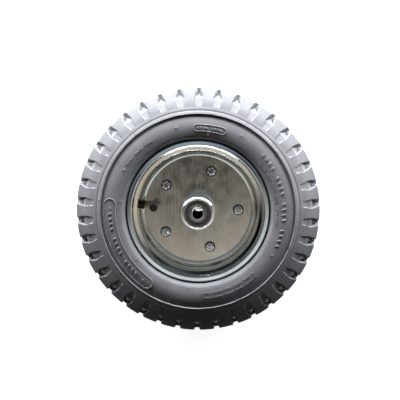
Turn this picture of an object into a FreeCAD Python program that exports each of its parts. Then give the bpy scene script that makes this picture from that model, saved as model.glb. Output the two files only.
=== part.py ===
import FreeCAD, Part
import math
import os

# A pneumatic hand-truck wheel: a lugged tyre with an inner tube on a split, zinc-plated
# steel rim, bolted together round an offset hub with two sealed ball bearings.
# The wheel lies flat: its axis is +Z, the side with the nuts and the valve looks up, and
# the origin is the middle of the tyre, on the axis. Sizes are in millimetres and degrees.

# Gaps between pieces
SEAT_CLEARANCE = 0.2
SLIDE_CLEARANCE = 0.08
THREAD_CLEARANCE = 0.05
LIP_CLEARANCE = 1.0

# Pressed rim halves
RIM_SHEET = 2.0
DISC_RADIUS = 75.0
DISC_CORNER_RADIUS = 6.0
BARREL_HEIGHT = 22.0
BARREL_FLARE = 2.2
FLANGE_CORNER_RADIUS = 5.0
FLANGE_HEIGHT = 13.0
LIP_TOP = BARREL_HEIGHT + FLANGE_HEIGHT
LIP_OFFSET = 15.0
LIP_RADIUS = DISC_RADIUS + LIP_OFFSET
LIP_WIDTH = 6.4
LIP_INNER_ROUND = 2.9
LIP_OUTER_ROUND = 3.0
LIP_DROP = 3.5

# Tyre section, each radius stepped out from the one before it. The sidewall rises beside
# the lip, turns over a rounded knee and crosses a low crown to the moulded step.
SIDEWALL_OFFSET = 16.0
SIDEWALL_RADIUS = LIP_RADIUS + SIDEWALL_OFFSET
SIDEWALL_CROWN_RADIUS = 57.0
KNEE_OFFSET = 7.0
KNEE_WIDTH = 3.8
KNEE_ROUND = 5.0
STEP_OFFSET = 16.0
STEP_RADIUS = SIDEWALL_RADIUS + STEP_OFFSET
RING_WIDTH = 9.5
SHOULDER_RADIUS = STEP_RADIUS + RING_WIDTH
SHOULDER_WIDTH = 22.3
TREAD_DROP = 2.2
TYRE_RADIUS = SHOULDER_RADIUS + SHOULDER_WIDTH + TREAD_DROP
SIDEWALL_BULGE = 6.5
TYRE_HALF_WIDTH = LIP_TOP + SIDEWALL_BULGE
STEP_SLANT = 0.8
RING_DROP = 0.6
SHOULDER_DROP = 3.0
SHOULDER_CROWN = 1.2
TREAD_HALF_WIDTH = 29.5
TREAD_THICKNESS = 11.0
CASING_THICKNESS = 4.5
CASING_BOW = 0.125
BEAD_TOE = 15.4
BEAD_HEIGHT = 8.5
BEAD_SLANT = 2.0
BEAD_HEEL_GAP = 1.0
NECK_HEIGHT = 3.2
NECK_OFFSET = 1.2
LIP_COVER = 1.6
LIP_GAP = 0.6

# Tread: scooped notches between the shoulder lugs and a zigzag groove round the crown.
# A notch is narrow and flush at the ring, widest halfway up the shoulder, and a deep V
# with almost no floor at the edge of the tread.
LUG_COUNT = 38
NOTCH_PHASE = -5.2
NOTCH_START_WIDTH = 7.0
NOTCH_WIDTH = 12.2
NOTCH_END_WIDTH = 7.8
NOTCH_RIB_WIDTH = 6.0
NOTCH_FLOOR_WIDTH = 1.2
NOTCH_SCOOP_DEPTH = 1.2
NOTCH_DEPTH = 7.5
NOTCH_WALL_LEAN = 0.5
CENTRE_RIB_HALF_WIDTH = 13.0
ZIGZAG_WIDTH = 3.0
ZIGZAG_DEPTH = 4.0
ZIGZAG_SWING = 2.4

# Bolts through both discs, with a nut and a washer on the front
BOLT_COUNT = 5
BOLT_CIRCLE_RADIUS = 52.0
BOLT_PHASE = -1.0
BOLT_RADIUS = 3.0
BOLT_HOLE_CLEARANCE = 0.3
BOLT_HEAD_HEIGHT = 4.0
BOLT_PROTRUSION = 1.8
BOLT_TIP_CHAMFER = 0.6
HEX_ACROSS_FLATS = 10.0
HEX_CHAMFER_INSET = 0.15
HEX_CHAMFER_ANGLE = 30.0
NUT_HEIGHT = 5.0
WASHER_RADIUS = 7.0
WASHER_THICKNESS = 1.2

# Hub tube, longer on the front side, welded to the front disc
HUB_RADIUS = 20.2
HUB_FRONT = 53.0
HUB_REAR = -27.0
HUB_SHOULDER = 2.4
HUB_CHAMFER = 0.8
BEARING_RECESS = 0.6
WELD_SIZE = 2.4
WELD_CROWN = 0.2

# Two equal bearings
BEARING_RADIUS = 17.5
BEARING_WIDTH = 11.0
INNER_LAND_RADIUS = 10.4
OUTER_LAND_RADIUS = 15.0
RACE_CHAMFER = 0.4
BALL_COUNT = 8
BALL_RADIUS = 2.95
BALL_PLAY = 0.06
SEAL_RADIUS = 16.4
SEAL_THICKNESS = 1.1
SEAL_RIM = 0.65
SEAL_DISH = 0.3
SEAL_LIP_GAP = 0.3
CAGE_HALF_WIDTH = 3.6
CAGE_THICKNESS = 1.8
POCKET_PLAY = 0.12

# Sleeve that the axle passes through, and the spacer between the bearings
AXLE_BORE_RADIUS = 6.5
SLEEVE_RADIUS = 7.94
SLEEVE_PROTRUSION = 1.0
SLEEVE_CHAMFER = 0.35
SPACER_RADIUS = 10.0

# Inner tube and its bent valve
TUBE_WALL = 1.8
VALVE_ANGLE = 175.0
VALVE_HEIGHT = 8.6
VALVE_INSET = 18.5
VALVE_OFFSET = DISC_RADIUS - VALVE_INSET
VALVE_BEND_RADIUS = 6.0
STEM_RADIUS = 3.8
STEM_BORE_RADIUS = 1.9
STEM_TOP = 30.5
STEM_COLLAR_RADIUS = 4.6
STEM_COLLAR_THICKNESS = 1.5
VALVE_HOLE_CLEARANCE = 0.5
VALVE_NUT_ACROSS_FLATS = 10.0
VALVE_NUT_HEIGHT = 3.5
VALVE_NUT_SETBACK = 2.4
VALVE_WASHER_RADIUS = 5.4
CORE_LENGTH = 9.0
CORE_BORE_RADIUS = 0.95
PIN_GAP = 0.3
PLUNGER_HEIGHT = 1.0
PIN_TRAVEL = 1.0
CAP_RADIUS = 5.1
CAP_HEIGHT = 12.0
CAP_TOP_THICKNESS = 1.4
CAP_EDGE_RADIUS = 0.9
CAP_RIB_COUNT = 12
CAP_RIB_RADIUS = 0.45
CAP_RIB_INSET = 0.15

AXIS = FreeCAD.Vector(0, 0, 1)
ORIGIN = FreeCAD.Vector(0, 0, 0)


def point(radius, height):
    return FreeCAD.Vector(radius, 0, height)


def line(start, end):
    return Part.LineSegment(start, end).toShape()


def arc(start, middle, end):
    return Part.Arc(start, middle, end).toShape()


def rounded_corner(before, here, after, rounding):
    """The two ends and the middle of the arc that rounds one corner of an outline."""
    towards_before = (before - here).normalize()
    towards_after = (after - here).normalize()
    half_turn = towards_before.getAngle(towards_after) / 2
    reach = rounding / math.tan(half_turn)
    inset = rounding / math.sin(half_turn) - rounding
    middle = here + (towards_before + towards_after).normalize() * inset
    return here + towards_before * reach, middle, here + towards_after * reach


def rounded_path(corners):
    """An open run of lines through (radius, height, rounding) corners, with tangent arcs."""
    places = [point(r, z) for r, z, rounding in corners]
    edges = []
    last = places[0]
    for k in range(1, len(corners) - 1):
        if corners[k][2] == 0:
            edges.append(line(last, places[k]))
            last = places[k]
            continue
        start, middle, end = rounded_corner(places[k - 1], places[k], places[k + 1], corners[k][2])
        edges.append(line(last, start))
        edges.append(arc(start, middle, end))
        last = end
    edges.append(line(last, places[-1]))
    return edges


def revolved(edges):
    """A ring turned round the wheel's axis from the edges of a closed outline."""
    return Part.Face(Part.Wire(edges)).revolve(ORIGIN, AXIS, 360)


def turned_ring(corners):
    """A ring turned from a closed outline of straight lines, given as (radius, height)."""
    places = [point(r, z) for r, z in corners]
    return Part.Face(Part.makePolygon(places + places[:1])).revolve(ORIGIN, AXIS, 360)


def ring(inner, outer, low, high):
    return turned_ring([(inner, low), (outer, low), (outer, high), (inner, high)])


def hexagon(across_flats, low, height):
    """A hexagonal prism on the Z axis."""
    reach = across_flats / math.sqrt(3)
    corners = []
    for k in range(7):
        turn = math.radians(60 * k)
        corners.append(FreeCAD.Vector(reach * math.cos(turn), reach * math.sin(turn), low))
    return Part.Face(Part.makePolygon(corners)).extrude(AXIS * height)


def rod(radius, low, high):
    return Part.makeCylinder(radius, high - low, FreeCAD.Vector(0, 0, low))


def turned(shape, degrees):
    copy = shape.copy()
    copy.rotate(ORIGIN, AXIS, degrees)
    return copy


def moved_out(shape, radius, degrees):
    """A shape made on the axis, carried out to a radius and then round to an angle."""
    copy = shape.copy()
    copy.translate(FreeCAD.Vector(radius, 0, 0))
    return turned(copy, degrees)


def around(shape, count, phase):
    return [turned(shape, phase + 360.0 * k / count) for k in range(count)]


def mirrored(shape):
    """The same shape on the other side of the wheel's middle plane."""
    return shape.mirror(ORIGIN, AXIS)


# Rim halves

def barrel_radius(height):
    """Inner radius of the front rim half's barrel, which flares a little towards its lip."""
    return DISC_RADIUS + BARREL_FLARE * (height - RIM_SHEET) / (BARREL_HEIGHT - RIM_SHEET)


def lip_edge():
    """Height of the cut edge of the sheet, where the rolled lip ends."""
    return LIP_TOP - LIP_DROP


def dish_corners():
    """The visible surface of the front rim half, from the hub hole out to the rolled lip."""
    return [
        (HUB_RADIUS + SEAT_CLEARANCE, RIM_SHEET, 0),
        (DISC_RADIUS, RIM_SHEET, DISC_CORNER_RADIUS),
        (barrel_radius(BARREL_HEIGHT), BARREL_HEIGHT, FLANGE_CORNER_RADIUS),
        (LIP_RADIUS - LIP_WIDTH, LIP_TOP, LIP_INNER_ROUND),
        (LIP_RADIUS, LIP_TOP, LIP_OUTER_ROUND),
        (LIP_RADIUS, lip_edge(), 0),
    ]


def bolt_holes():
    hole = rod(BOLT_RADIUS + BOLT_HOLE_CLEARANCE, -RIM_SHEET - 1, RIM_SHEET + 1)
    return around(moved_out(hole, BOLT_CIRCLE_RADIUS, 0), BOLT_COUNT, BOLT_PHASE)


def rim_half():
    """Sheet steel pressed into a dish, with a rolled lip and the bolt holes."""
    surface = Part.Wire(rounded_path(dish_corners()))
    section = surface.makeOffset2D(-RIM_SHEET, 0, True, True)
    return section.revolve(ORIGIN, AXIS, 360).cut(bolt_holes())


def front_rim_half():
    hole = Part.makeCylinder(STEM_RADIUS + VALVE_HOLE_CLEARANCE, LIP_RADIUS - VALVE_OFFSET,
                             point(VALVE_OFFSET, VALVE_HEIGHT), point(1, 0))
    return rim_half().cut(turned(hole, VALVE_ANGLE))


def rear_rim_half():
    return mirrored(rim_half())


# Tyre

def bead_seat_radius(height):
    """Radius where the bead rests on the outside of the barrel."""
    return barrel_radius(height) + RIM_SHEET + SEAT_CLEARANCE


def bead_toe():
    return point(bead_seat_radius(BEAD_TOE), BEAD_TOE)


def bead_outline():
    """The bead's outside: up the barrel, along the flange and out past the lip's edge."""
    heel_height = BARREL_HEIGHT - RIM_SHEET - BEAD_HEEL_GAP
    heel = point(bead_seat_radius(heel_height), heel_height)
    flange_width = LIP_RADIUS - LIP_WIDTH - barrel_radius(BARREL_HEIGHT)
    flange_lean = flange_width / (LIP_TOP - BARREL_HEIGHT)
    neck_height = lip_edge() - NECK_HEIGHT
    neck = point(heel.x + flange_lean * (neck_height - heel_height) + NECK_OFFSET, neck_height)
    under_lip = point(LIP_RADIUS - LIP_GAP, lip_edge() - LIP_COVER)
    return [line(bead_toe(), heel), line(heel, neck), line(neck, under_lip), line(under_lip, sidewall_root())]


def sidewall_root():
    """Where the sidewall comes out from under the rolled lip."""
    return point(LIP_RADIUS + LIP_CLEARANCE, lip_edge() + LIP_GAP)


def sidewall_crown(radius):
    """A place on the arc that the sidewall follows on both sides of its highest ring."""
    across = radius - SIDEWALL_RADIUS
    rise = math.sqrt(SIDEWALL_CROWN_RADIUS ** 2 - across ** 2)
    return point(radius, TYRE_HALF_WIDTH - SIDEWALL_CROWN_RADIUS + rise)


def sidewall():
    """From under the lip, over the knee and across the crown to the foot of the step."""
    knee_end = sidewall_crown(LIP_RADIUS + KNEE_OFFSET)
    slope = math.asin((SIDEWALL_RADIUS - knee_end.x) / SIDEWALL_CROWN_RADIUS)
    knee = knee_end - point(math.cos(slope), math.sin(slope)) * KNEE_WIDTH
    start, middle, end = rounded_corner(sidewall_root(), knee, knee_end, KNEE_ROUND)
    crest = point(SIDEWALL_RADIUS, TYRE_HALF_WIDTH)
    return [line(sidewall_root(), start), arc(start, middle, end), line(end, knee_end),
            arc(knee_end, crest, sidewall_crown(STEP_RADIUS))]


def shoulder_foot():
    return point(SHOULDER_RADIUS, TYRE_HALF_WIDTH - SHOULDER_DROP)


def tread_edge():
    return point(TYRE_RADIUS - TREAD_DROP, TREAD_HALF_WIDTH)


def shoulder_middle():
    """The top of the shoulder's slight crown, halfway between the ring and the tread."""
    chord = tread_edge() - shoulder_foot()
    return (shoulder_foot() + tread_edge()) / 2 + upward(chord) * SHOULDER_CROWN


def upward(along):
    """The unit direction out of the rubber, square to a direction that leads to the crown."""
    return along.cross(FreeCAD.Vector(0, 1, 0)).normalize()


def tyre_outside():
    """The front half of the tyre's outside, from the bead toe to the crown."""
    step_high = point(STEP_RADIUS + STEP_SLANT, TYRE_HALF_WIDTH - RING_DROP)
    half_tread = point(TYRE_RADIUS - TREAD_DROP / 4, TREAD_HALF_WIDTH / 2)
    crown = point(TYRE_RADIUS, 0)
    return bead_outline() + sidewall() + [
        line(sidewall_crown(STEP_RADIUS), step_high), line(step_high, shoulder_foot()),
        arc(shoulder_foot(), shoulder_middle(), tread_edge()), arc(tread_edge(), half_tread, crown),
    ]


def tyre_inside():
    """The front half of the tyre's inside, from the middle of the tread to the bead toe."""
    bead_top = point(bead_toe().x + BEAD_HEIGHT, BEAD_TOE + BEAD_SLANT)
    wall = point(SIDEWALL_RADIUS, TYRE_HALF_WIDTH - CASING_THICKNESS)
    under_tread = point(TYRE_RADIUS - TREAD_THICKNESS, 0)
    corner = tread_edge() - out_of_edge() * (NOTCH_DEPTH + CASING_THICKNESS)
    return [line(under_tread, corner), bowed(wall, corner), bowed(bead_top, wall), line(bead_top, bead_toe())]


def bowed(start, end):
    """An arc between two places on the tyre's inside, bowed towards the rubber."""
    chord = end - start
    return arc(start, (start + end) / 2 + upward(chord) * (chord.Length * CASING_BOW), end)


def out_of_edge():
    """The direction out of the tread's edge, halfway between the shoulder's and the tread's."""
    return (upward(tread_edge() - shoulder_foot()) + point(1, 0)).normalize()


def notch_section(place, up, depth, width, floor_width):
    """One station of the notch tool: its floor, and its walls carried on past the surface."""
    reach = NOTCH_DEPTH
    lean = (width - floor_width) / 2 / depth if depth > 0 else NOTCH_WALL_LEAN
    across = FreeCAD.Vector(0, 1, 0)
    low = place - up * depth
    high = place + up * reach
    half_floor = across * (floor_width / 2)
    half_top = across * (width / 2 + lean * reach)
    return Part.makePolygon([low - half_floor, low + half_floor, high + half_top, high - half_top,
                             low - half_floor])


def notch():
    """The tool that scoops one notch, lofted through four stations from the ring to the rib."""
    out = upward(tread_edge() - shoulder_foot())
    rib = point(TYRE_RADIUS, CENTRE_RIB_HALF_WIDTH)
    scoop_floor = NOTCH_WIDTH - 2 * NOTCH_WALL_LEAN * NOTCH_SCOOP_DEPTH
    stations = [
        notch_section(shoulder_foot(), out, 0, NOTCH_START_WIDTH, NOTCH_START_WIDTH),
        notch_section(shoulder_middle(), out, NOTCH_SCOOP_DEPTH, NOTCH_WIDTH, scoop_floor),
        notch_section(tread_edge(), out_of_edge(), NOTCH_DEPTH, NOTCH_END_WIDTH, NOTCH_FLOOR_WIDTH),
        notch_section(rib, point(1, 0), NOTCH_DEPTH, NOTCH_RIB_WIDTH, NOTCH_FLOOR_WIDTH),
    ]
    return Part.makeLoft(stations, True, True)


def zigzag():
    """The tools that cut the groove round the crown, two straight runs for each lug."""
    pitch = math.radians(360.0 / LUG_COUNT)
    runs = []
    for k in range(2 * LUG_COUNT):
        side = 1 if k % 2 else -1
        turns = (k * pitch / 2, (k + 1) * pitch / 2)
        start = FreeCAD.Vector(TYRE_RADIUS * math.cos(turns[0]), TYRE_RADIUS * math.sin(turns[0]),
                               -side * ZIGZAG_SWING)
        end = FreeCAD.Vector(TYRE_RADIUS * math.cos(turns[1]), TYRE_RADIUS * math.sin(turns[1]),
                             side * ZIGZAG_SWING)
        runs.append(groove_run(start, end))
    return runs


def groove_run(start, end):
    """A box that cuts one straight run of the crown groove."""
    along = (end - start).normalize()
    outward = FreeCAD.Vector(start.x + end.x, start.y + end.y, 0).normalize()
    across = outward.cross(along).normalize()
    overlap = along * (ZIGZAG_WIDTH / 2)
    corner = start - overlap - across * (ZIGZAG_WIDTH / 2) - outward * ZIGZAG_DEPTH
    low = [corner, corner + across * ZIGZAG_WIDTH]
    reach = end - start + overlap * 2
    outline = Part.makePolygon([low[0], low[1], low[1] + reach, low[0] + reach, low[0]])
    return Part.Face(outline).extrude(outward * (ZIGZAG_DEPTH + TREAD_DROP))


def tyre():
    """The rubber tyre: a casing turned from one section, with the tread cut into it."""
    outside = tyre_outside()
    inside = tyre_inside()
    half = outside + inside
    edges = half + [mirrored(edge) for edge in half]
    casing = Part.Face(Part.Wire(Part.__sortEdges__(edges))).revolve(ORIGIN, AXIS, 360)
    half_pitch = 180.0 / LUG_COUNT
    front = around(notch(), LUG_COUNT, NOTCH_PHASE)
    rear = around(mirrored(notch()), LUG_COUNT, NOTCH_PHASE + half_pitch)
    return casing.cut(front + rear + [turned(run, NOTCH_PHASE) for run in zigzag()])


def tube_section():
    """The closed outline of the space between the tyre and the rim."""
    half = tyre_inside()
    floor = line(bead_toe(), mirrored_point(bead_toe()))
    edges = half + [mirrored(edge) for edge in half] + [floor]
    return Part.Face(Part.Wire(Part.__sortEdges__(edges)))


def mirrored_point(place):
    return FreeCAD.Vector(place.x, place.y, -place.z)


def inner_tube():
    """The inflated butyl tube that fills the tyre, with the hole where its valve is bonded."""
    section = tube_section()
    outer = section.makeOffset2D(-SEAT_CLEARANCE)
    inner = section.makeOffset2D(-SEAT_CLEARANCE - TUBE_WALL)
    shell = outer.revolve(ORIGIN, AXIS, 360).cut(inner.revolve(ORIGIN, AXIS, 360))
    hole = Part.makeCylinder(STEM_RADIUS + THREAD_CLEARANCE, LIP_RADIUS - VALVE_OFFSET,
                             point(VALVE_OFFSET, VALVE_HEIGHT), point(1, 0))
    return shell.cut(turned(hole, VALVE_ANGLE))


# Valve

def valve_placed(shape):
    return turned(shape, VALVE_ANGLE)


def stem_path():
    """The stem's centre line: out of the tube towards the axle, then bent up beside the hub."""
    collar = bead_seat_radius(BEAD_TOE) + SEAT_CLEARANCE + TUBE_WALL + THREAD_CLEARANCE
    bend_start = point(VALVE_OFFSET + VALVE_BEND_RADIUS, VALVE_HEIGHT)
    bend_end = point(VALVE_OFFSET, VALVE_HEIGHT + VALVE_BEND_RADIUS)
    inset = VALVE_BEND_RADIUS * (1 - math.sqrt(0.5))
    bend_middle = point(VALVE_OFFSET + inset, VALVE_HEIGHT + inset)
    start = point(collar + STEM_COLLAR_THICKNESS, VALVE_HEIGHT)
    return Part.Wire([line(start, bend_start), arc(bend_start, bend_middle, bend_end),
                      line(bend_end, point(VALVE_OFFSET, STEM_TOP))])


def swept_round(path, radius):
    start = path.Edges[0].Vertexes[0].Point
    section = Part.Wire([Part.Circle(start, point(1, 0), radius).toShape()])
    return path.makePipeShell([section], True, True)


def valve_stem():
    """A bent brass tube with a collar that holds it in the rubber of the inner tube."""
    path = stem_path()
    start = path.Edges[0].Vertexes[0].Point
    collar = Part.makeCylinder(STEM_COLLAR_RADIUS, STEM_COLLAR_THICKNESS, start, point(-1, 0))
    stem = swept_round(path, STEM_RADIUS).fuse(collar).cut(swept_round(path, STEM_BORE_RADIUS))
    return valve_placed(stem.removeSplitter())


def valve_nut():
    """The hexagonal nut that draws the stem against the barrel."""
    seat = barrel_radius(VALVE_HEIGHT) - VALVE_NUT_SETBACK
    nut = hexagon(VALVE_NUT_ACROSS_FLATS, 0, VALVE_NUT_HEIGHT)
    nut = nut.cut(rod(STEM_RADIUS + THREAD_CLEARANCE, -1, VALVE_NUT_HEIGHT + 1))
    nut.rotate(ORIGIN, AXIS, 30)
    nut.rotate(ORIGIN, FreeCAD.Vector(0, 1, 0), -90)
    nut.translate(point(seat, VALVE_HEIGHT))
    return valve_placed(nut)


def valve_washer():
    """A washer under the nut, with its outer face shaped to the hollow of the barrel."""
    seat = barrel_radius(VALVE_HEIGHT) - VALVE_NUT_SETBACK
    start = point(seat, VALVE_HEIGHT)
    blank = Part.makeCylinder(VALVE_WASHER_RADIUS, LIP_RADIUS - seat, start, point(1, 0))
    dish = rounded_path(dish_corners())
    first = dish[0].Vertexes[0].Point
    last = dish[-1].Vertexes[-1].Point
    hollow = revolved(dish + [line(last, point(0, last.z)), line(point(0, last.z), point(0, first.z)),
                              line(point(0, first.z), first)])
    hollow.translate(point(0, SEAT_CLEARANCE / 2))
    hole = Part.makeCylinder(STEM_RADIUS + SEAT_CLEARANCE, LIP_RADIUS, point(0, VALVE_HEIGHT), point(1, 0))
    return valve_placed(blank.common(hollow).cut(hole))


def core_span():
    high = STEM_TOP - PIN_TRAVEL
    return high - CORE_LENGTH, high


def valve_core():
    """The threaded brass insert in the end of the stem, bored for its pin."""
    low, high = core_span()
    body = ring(CORE_BORE_RADIUS, STEM_BORE_RADIUS - THREAD_CLEARANCE, low, high)
    return valve_placed(moved_out(body, VALVE_OFFSET, 0))


def valve_pin():
    """The pin that lets air in when it is pressed, with its plunger under the core."""
    low, high = core_span()
    plunger_top = low - SLIDE_CLEARANCE
    rod_radius = CORE_BORE_RADIUS - PIN_GAP
    plunger = rod(STEM_BORE_RADIUS - PIN_GAP, plunger_top - PLUNGER_HEIGHT, plunger_top)
    pin = plunger.fuse(rod(rod_radius, plunger_top, high + PIN_TRAVEL / 2)).removeSplitter()
    return valve_placed(moved_out(pin, VALVE_OFFSET, 0))


def valve_cap():
    """The ribbed plastic cap, bored to slip over the stem."""
    ceiling = STEM_TOP + SEAT_CLEARANCE
    top = ceiling + CAP_TOP_THICKNESS
    low = top - CAP_HEIGHT
    corners = [(0, low, 0), (CAP_RADIUS, low, 0), (CAP_RADIUS, top, CAP_EDGE_RADIUS), (0, top, 0)]
    cap = revolved(rounded_path(corners) + [line(point(0, top), point(0, low))])
    rib = rod(CAP_RIB_RADIUS, low, top - CAP_EDGE_RADIUS - CAP_RIB_RADIUS)
    ribs = around(moved_out(rib, CAP_RADIUS - CAP_RIB_INSET, 0), CAP_RIB_COUNT, 0)
    cap = cap.fuse(ribs).cut(rod(STEM_RADIUS + SLIDE_CLEARANCE, low - 1, ceiling))
    return valve_placed(moved_out(cap.removeSplitter(), VALVE_OFFSET, 0))


# Bolts, nuts and washers

def chamfered_hexagon(low, height, chamfer_low):
    """A hexagonal prism whose corners are turned off at one end, as on a nut or a bolt head."""
    prism = hexagon(HEX_ACROSS_FLATS, low, height)
    reach = HEX_ACROSS_FLATS / math.sqrt(3)
    flat = HEX_ACROSS_FLATS / 2 - HEX_CHAMFER_INSET
    drop = (reach - flat) * math.tan(math.radians(HEX_CHAMFER_ANGLE))
    high = low + height
    if chamfer_low:
        corners = [(0, low), (flat, low), (reach, low + drop), (reach, high), (0, high)]
    else:
        corners = [(0, low), (reach, low), (reach, high - drop), (flat, high), (0, high)]
    return prism.common(turned_ring(corners))


def on_bolt_circle(shape):
    return Part.makeCompound(around(moved_out(shape, BOLT_CIRCLE_RADIUS, 0), BOLT_COUNT, BOLT_PHASE))


def nut_seat():
    return RIM_SHEET + WASHER_THICKNESS


def rim_bolts():
    """Hexagon bolts with their heads on the rear disc."""
    tip = nut_seat() + NUT_HEIGHT + BOLT_PROTRUSION
    corners = [(0, -RIM_SHEET), (BOLT_RADIUS, -RIM_SHEET), (BOLT_RADIUS, tip - BOLT_TIP_CHAMFER),
               (BOLT_RADIUS - BOLT_TIP_CHAMFER, tip), (0, tip)]
    head = chamfered_hexagon(-RIM_SHEET - BOLT_HEAD_HEIGHT, BOLT_HEAD_HEIGHT, True)
    return on_bolt_circle(head.fuse(turned_ring(corners)).removeSplitter())


def rim_washers():
    return on_bolt_circle(ring(BOLT_RADIUS + BOLT_HOLE_CLEARANCE, WASHER_RADIUS, RIM_SHEET, nut_seat()))


def rim_nuts():
    nut = chamfered_hexagon(nut_seat(), NUT_HEIGHT, False)
    hole = rod(BOLT_RADIUS + THREAD_CLEARANCE, 0, nut_seat() + NUT_HEIGHT + 1)
    return on_bolt_circle(nut.cut(hole))


# Hub

def hub_tube():
    """A turned tube with a seat for a bearing at each end and a weld bead on the front disc."""
    front_seat = HUB_FRONT - BEARING_RECESS - BEARING_WIDTH
    rear_seat = HUB_REAR + BEARING_RECESS + BEARING_WIDTH
    bore = BEARING_RADIUS - HUB_SHOULDER
    edge = HUB_RADIUS - HUB_CHAMFER
    crown = WELD_SIZE / 2 + WELD_CROWN
    return turned_ring([
        (BEARING_RADIUS, HUB_FRONT), (edge, HUB_FRONT), (HUB_RADIUS, HUB_FRONT - HUB_CHAMFER),
        (HUB_RADIUS, RIM_SHEET + WELD_SIZE), (HUB_RADIUS + crown, RIM_SHEET + crown),
        (HUB_RADIUS + WELD_SIZE, RIM_SHEET), (HUB_RADIUS, RIM_SHEET),
        (HUB_RADIUS, HUB_REAR + HUB_CHAMFER), (edge, HUB_REAR), (BEARING_RADIUS, HUB_REAR),
        (BEARING_RADIUS, rear_seat), (bore, rear_seat), (bore, front_seat), (BEARING_RADIUS, front_seat),
    ])


def axle_sleeve():
    """The tube that the axle passes through, pressed into both inner races."""
    low = HUB_REAR - SLEEVE_PROTRUSION
    high = HUB_FRONT + SLEEVE_PROTRUSION
    edge = SLEEVE_RADIUS - SLEEVE_CHAMFER
    return turned_ring([(AXLE_BORE_RADIUS, low), (edge, low), (SLEEVE_RADIUS, low + SLEEVE_CHAMFER),
                        (SLEEVE_RADIUS, high - SLEEVE_CHAMFER), (edge, high), (AXLE_BORE_RADIUS, high)])


def bearing_spacer():
    """The tube that keeps the two inner races apart."""
    low = HUB_REAR + BEARING_RECESS + BEARING_WIDTH
    high = HUB_FRONT - BEARING_RECESS - BEARING_WIDTH
    return ring(SLEEVE_RADIUS + SLIDE_CLEARANCE, SPACER_RADIUS, low, high)


# Bearings, made about the middle of their width and then put in place

def pitch_radius():
    return (BEARING_RADIUS + SLEEVE_RADIUS) / 2


def race_groove():
    return Part.makeTorus(pitch_radius(), BALL_RADIUS + BALL_PLAY)


def outer_race():
    half = BEARING_WIDTH / 2
    edge = BEARING_RADIUS - RACE_CHAMFER
    seal_seat = half - SEAL_THICKNESS
    return turned_ring([
        (SEAL_RADIUS, -half), (edge, -half), (BEARING_RADIUS, -half + RACE_CHAMFER),
        (BEARING_RADIUS, half - RACE_CHAMFER), (edge, half), (SEAL_RADIUS, half),
        (SEAL_RADIUS, seal_seat), (OUTER_LAND_RADIUS, seal_seat),
        (OUTER_LAND_RADIUS, -seal_seat), (SEAL_RADIUS, -seal_seat),
    ]).cut(race_groove())


def inner_race():
    half = BEARING_WIDTH / 2
    edge = INNER_LAND_RADIUS - RACE_CHAMFER
    return turned_ring([
        (SLEEVE_RADIUS, -half), (edge, -half), (INNER_LAND_RADIUS, -half + RACE_CHAMFER),
        (INNER_LAND_RADIUS, half - RACE_CHAMFER), (edge, half), (SLEEVE_RADIUS, half),
    ]).cut(race_groove())


def bearing_balls():
    ball = Part.makeSphere(BALL_RADIUS)
    return Part.makeCompound(around(moved_out(ball, pitch_radius(), 0), BALL_COUNT, 0))


def ball_cage():
    """A plain ring drilled through from its side with a round pocket for each ball."""
    inside = pitch_radius() - CAGE_THICKNESS / 2
    band = ring(inside, inside + CAGE_THICKNESS, -CAGE_HALF_WIDTH, CAGE_HALF_WIDTH)
    band = turned(band, 180.0 / BALL_COUNT)
    pocket = Part.makeCylinder(BALL_RADIUS + POCKET_PLAY, pitch_radius(), point(inside / 2, 0), point(1, 0))
    return band.cut(around(pocket, BALL_COUNT, 0))


def upper_seal():
    """A rubber-faced ring that closes one side of a bearing, with a raised rim and lip."""
    high = BEARING_WIDTH / 2 - SLIDE_CLEARANCE
    low = BEARING_WIDTH / 2 - SEAL_THICKNESS
    inner = INNER_LAND_RADIUS + SEAL_LIP_GAP
    outer = SEAL_RADIUS - THREAD_CLEARANCE
    dish = high - SEAL_DISH
    return turned_ring([(inner, low), (outer, low), (outer, high), (outer - SEAL_RIM, high),
                        (outer - SEAL_RIM - SEAL_DISH, dish), (inner + SEAL_RIM + SEAL_DISH, dish),
                        (inner + SEAL_RIM, high), (inner, high)])


BEARING_PIECES = {
    "outer_race": outer_race,
    "inner_race": inner_race,
    "balls": bearing_balls,
    "cage": ball_cage,
    "upper_seal": upper_seal,
    "lower_seal": lambda: mirrored(upper_seal()),
}


def bearing_pieces(side, middle):
    """All pieces of one bearing, named for its side and moved to its place on the axis."""
    pieces = {}
    for name, make in BEARING_PIECES.items():
        piece = make()
        piece.translate(AXIS * middle)
        pieces[side + "_bearing_" + name] = piece
    return pieces


PIECES = {
    "tyre": tyre,
    "inner_tube": inner_tube,
    "front_rim_half": front_rim_half,
    "rear_rim_half": rear_rim_half,
    "rim_bolts": rim_bolts,
    "rim_washers": rim_washers,
    "rim_nuts": rim_nuts,
    "hub_tube": hub_tube,
    "axle_sleeve": axle_sleeve,
    "bearing_spacer": bearing_spacer,
    "valve_stem": valve_stem,
    "valve_nut": valve_nut,
    "valve_washer": valve_washer,
    "valve_core": valve_core,
    "valve_pin": valve_pin,
    "valve_cap": valve_cap,
}


def wheel():
    pieces = {name: make() for name, make in PIECES.items()}
    inset = BEARING_RECESS + BEARING_WIDTH / 2
    pieces.update(bearing_pieces("front", HUB_FRONT - inset))
    pieces.update(bearing_pieces("rear", HUB_REAR + inset))
    return pieces


os.makedirs("parts", exist_ok=True)
for name, piece in wheel().items():
    piece.exportStep(os.path.join("parts", name + ".step"))
    print(name, len(piece.Solids), "solids", round(piece.Volume), "cubic mm")
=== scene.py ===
import math

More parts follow.
